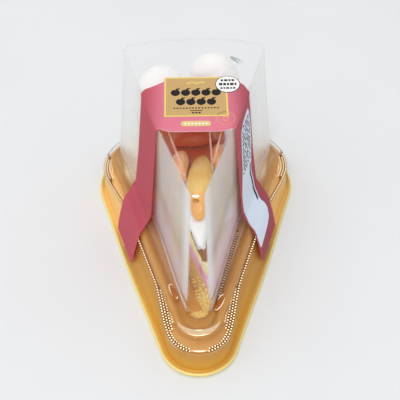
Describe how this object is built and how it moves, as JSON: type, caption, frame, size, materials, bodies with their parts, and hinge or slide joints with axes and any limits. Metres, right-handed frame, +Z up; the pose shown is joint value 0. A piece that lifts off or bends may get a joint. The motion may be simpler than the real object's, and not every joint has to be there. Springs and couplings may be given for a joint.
{
  "type": "cake slice in a clear lidded pack",
  "caption": "Peach shortcake slice in a shut wedge-shaped pack: gold tray, clear domed lid, and a pink paper band folded over the lid.",
  "frame": {"origin": "on the resting plane under the middle of the bounding box", "axes": "+Y along the length of the pack towards its wide back end, the tip of the slice pointing to -Y; +Z up; +X to the right seen from the tip"},
  "size_m": [0.0972, 0.1456, 0.0794],
  "materials": {
    "gold": "metallic gold, satin",
    "clear": "clear, glossy",
    "paper": "printed, satin",
    "sponge": "open crumb, matte",
    "filling": "soft, moist",
    "cream": "soft, smooth",
    "peach": "wet, glossy"
  },
  "bodies": {
    "root": {"tray": "gold", "lid": "clear", "paper_band": "paper", "sponge_low": "sponge", "filling": "filling", "sponge_high": "sponge", "cream_coat": "cream", "cream_puff_left": "cream", "cream_puff_right": "cream", "peach_front": "peach", "peach_left": "peach", "peach_right": "peach", "peach_back": "peach"}
  },
  "joints": []
}
